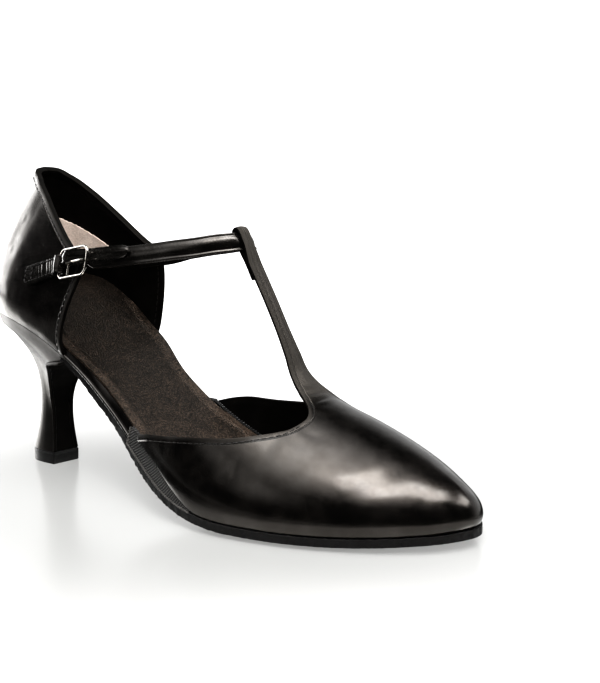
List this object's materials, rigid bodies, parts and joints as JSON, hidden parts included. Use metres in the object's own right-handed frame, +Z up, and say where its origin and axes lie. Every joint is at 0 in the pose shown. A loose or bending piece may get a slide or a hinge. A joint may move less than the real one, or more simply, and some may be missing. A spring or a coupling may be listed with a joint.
{
  "type": "ballroom dance shoe",
  "caption": "Right ballroom dance shoe with a closed almond toe, open sides, T-strap, buckled ankle strap, thin suede sole and flared covered heel.",
  "frame": {"origin": "middle of the shoe's footprint box, on the floor", "axes": "+X from the heel to the toe, +Y to the inner side of the foot, +Z up from the floor"},
  "size_m": [0.2274, 0.0798, 0.1192],
  "materials": {
    "black_leather": "smooth semi-gloss leather",
    "brown_sock": "fine-grained matt lining leather",
    "black_suede": "napped suede",
    "dark_rubber": "matt moulded lift",
    "plated_metal": "polished plated wire"
  },
  "bodies": {
    "root": {"insole": "brown_sock", "outsole": "black_suede", "vamp": "black_leather", "quarter": "black_leather", "heel": "black_leather", "heel_lift": "dark_rubber", "margin_lateral": "black_suede", "margin_medial": "black_suede", "ankle_strap": "black_leather", "buckle": "plated_metal", "buckle_tab": "black_leather"}
  },
  "joints": []
}
